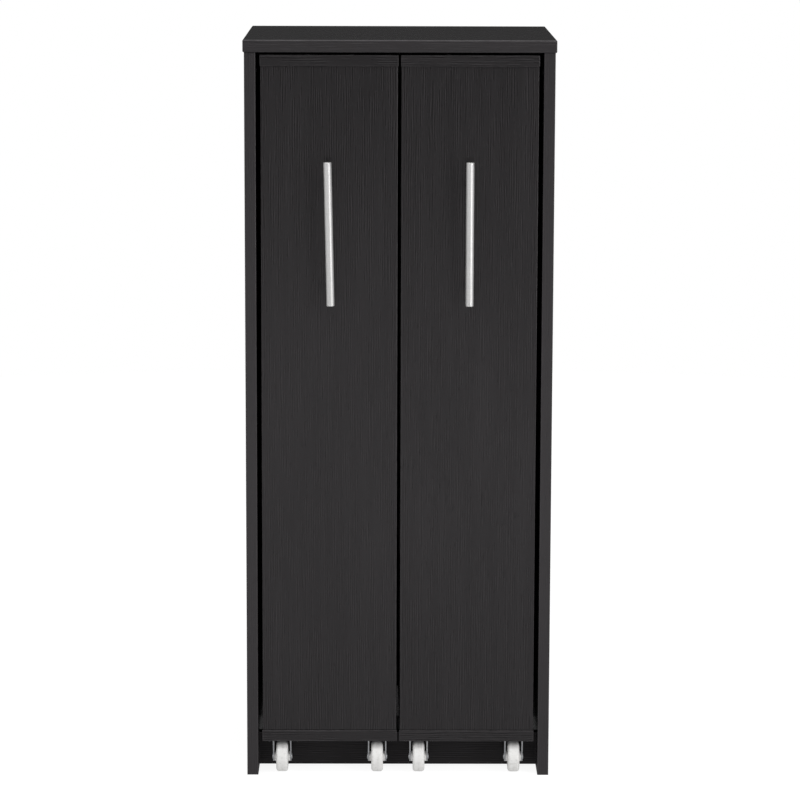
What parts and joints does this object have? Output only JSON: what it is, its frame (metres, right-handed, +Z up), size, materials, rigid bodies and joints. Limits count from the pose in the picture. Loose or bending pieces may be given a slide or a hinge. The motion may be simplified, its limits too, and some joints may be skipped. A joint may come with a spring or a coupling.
{
  "type": "shoe cabinet",
  "caption": "Tall dark shoe cabinet with roll-out shelf units side by side, each on small casters with an upright bar handle.",
  "frame": {"origin": "on the floor, midway across the width, and midway between the fronts of the handles and the back of the cabinet", "axes": "+X to the right seen from the front, +Y from the front to the back, +Z up"},
  "size_m": [0.496, 0.421, 1.196],
  "materials": {
    "dark_wood": "espresso wood-grain laminate, satin, fine embossed grain",
    "dark_hardboard": "thin hardboard, dark foil face",
    "satin_steel": "satin nickel on a steel bar",
    "zinc_plate": "bright zinc plate",
    "chrome_rod": "polished",
    "channel_aluminium": "plain extruded",
    "white_nylon": "moulded white nylon",
    "black_nylon": "moulded nylon",
    "beech": "fluted beech"
  },
  "bodies": {
    "carcass": {"back_panel": "dark_hardboard", "back_panel_screws": "zinc_plate", "carcass_cam_locks": "zinc_plate", "carcass_dowels": "beech", "kick_board": "dark_wood", "left_guide_channel": "channel_aluminium", "left_side_panel": "dark_wood", "lower_rear_rail": "dark_wood", "right_guide_channel": "channel_aluminium", "right_side_panel": "dark_wood", "top_board": "dark_wood", "upper_rear_rail": "dark_wood"},
    "left_unit": {"left_caster_axles": "zinc_plate", "left_caster_forks": "zinc_plate", "left_caster_screws": "zinc_plate", "left_front_panel": "dark_wood", "left_guide_pegs": "black_nylon", "left_handle_bar": "satin_steel", "left_handle_posts": "satin_steel", "left_handle_screws": "zinc_plate", "left_retaining_rods": "chrome_rod", "left_shelf_1": "dark_wood", "left_shelf_2": "dark_wood", "left_shelf_3": "dark_wood", "left_shelf_4": "dark_wood", "left_shelf_5": "dark_wood", "left_shelf_pins": "zinc_plate", "left_unit_back": "dark_wood", "left_unit_bottom": "dark_wood", "left_unit_screws": "zinc_plate", "left_unit_top": "dark_wood"},
    "right_unit": {"right_caster_axles": "zinc_plate", "right_caster_forks": "zinc_plate", "right_caster_screws": "zinc_plate", "right_front_panel": "dark_wood", "right_guide_pegs": "black_nylon", "right_handle_bar": "satin_steel", "right_handle_posts": "satin_steel", "right_handle_screws": "zinc_plate", "right_retaining_rods": "chrome_rod", "right_shelf_1": "dark_wood", "right_shelf_2": "dark_wood", "right_shelf_3": "dark_wood", "right_shelf_4": "dark_wood", "right_shelf_5": "dark_wood", "right_shelf_pins": "zinc_plate", "right_unit_back": "dark_wood", "right_unit_bottom": "dark_wood", "right_unit_screws": "zinc_plate", "right_unit_top": "dark_wood"},
    "left_front_left_wheel": {"left_front_left_wheel": "white_nylon"},
    "left_front_right_wheel": {"left_front_right_wheel": "white_nylon"},
    "left_rear_left_wheel": {"left_rear_left_wheel": "white_nylon"},
    "left_rear_right_wheel": {"left_rear_right_wheel": "white_nylon"},
    "right_front_left_wheel": {"right_front_left_wheel": "white_nylon"},
    "right_front_right_wheel": {"right_front_right_wheel": "white_nylon"},
    "right_rear_left_wheel": {"right_rear_left_wheel": "white_nylon"},
    "right_rear_right_wheel": {"right_rear_right_wheel": "white_nylon"}
  },
  "joints": [
    {"name": "left_unit_slide", "type": "slide", "parent": "carcass", "child": "left_unit", "axis": [0, -1, 0], "range_m": [0, 0.228]},
    {"name": "left_front_left_wheel_spin", "type": "hinge", "parent": "left_unit", "child": "left_front_left_wheel", "pos_m": [-0.1893, -0.158, 0.025], "axis": [1, 0, 0], "continuous": true},
    {"name": "left_front_right_wheel_spin", "type": "hinge", "parent": "left_unit", "child": "left_front_right_wheel", "pos_m": [-0.0339, -0.158, 0.025], "axis": [1, 0, 0], "continuous": true},
    {"name": "left_rear_left_wheel_spin", "type": "hinge", "parent": "left_unit", "child": "left_rear_left_wheel", "pos_m": [-0.1893, 0.155, 0.025], "axis": [1, 0, 0], "continuous": true},
    {"name": "left_rear_right_wheel_spin", "type": "hinge", "parent": "left_unit", "child": "left_rear_right_wheel", "pos_m": [-0.0339, 0.155, 0.025], "axis": [1, 0, 0], "continuous": true},
    {"name": "right_unit_slide", "type": "slide", "parent": "carcass", "child": "right_unit", "axis": [0, -1, 0], "range_m": [0, 0.228]},
    {"name": "right_front_left_wheel_spin", "type": "hinge", "parent": "right_unit", "child": "right_front_left_wheel", "pos_m": [0.0339, -0.158, 0.025], "axis": [1, 0, 0], "continuous": true},
    {"name": "right_front_right_wheel_spin", "type": "hinge", "parent": "right_unit", "child": "right_front_right_wheel", "pos_m": [0.1893, -0.158, 0.025], "axis": [1, 0, 0], "continuous": true},
    {"name": "right_rear_left_wheel_spin", "type": "hinge", "parent": "right_unit", "child": "right_rear_left_wheel", "pos_m": [0.0339, 0.155, 0.025], "axis": [1, 0, 0], "continuous": true},
    {"name": "right_rear_right_wheel_spin", "type": "hinge", "parent": "right_unit", "child": "right_rear_right_wheel", "pos_m": [0.1893, 0.155, 0.025], "axis": [1, 0, 0], "continuous": true}
  ],
  "couplings": [
    {"joint": "left_front_left_wheel_spin", "follows": "left_unit_slide", "rad_per_m": 40},
    {"joint": "left_front_right_wheel_spin", "follows": "left_unit_slide", "rad_per_m": 40},
    {"joint": "left_rear_left_wheel_spin", "follows": "left_unit_slide", "rad_per_m": 40},
    {"joint": "left_rear_right_wheel_spin", "follows": "left_unit_slide", "rad_per_m": 40},
    {"joint": "right_front_left_wheel_spin", "follows": "right_unit_slide", "rad_per_m": 40},
    {"joint": "right_front_right_wheel_spin", "follows": "right_unit_slide", "rad_per_m": 40},
    {"joint": "right_rear_left_wheel_spin", "follows": "right_unit_slide", "rad_per_m": 40},
    {"joint": "right_rear_right_wheel_spin", "follows": "right_unit_slide", "rad_per_m": 40}
  ]
}
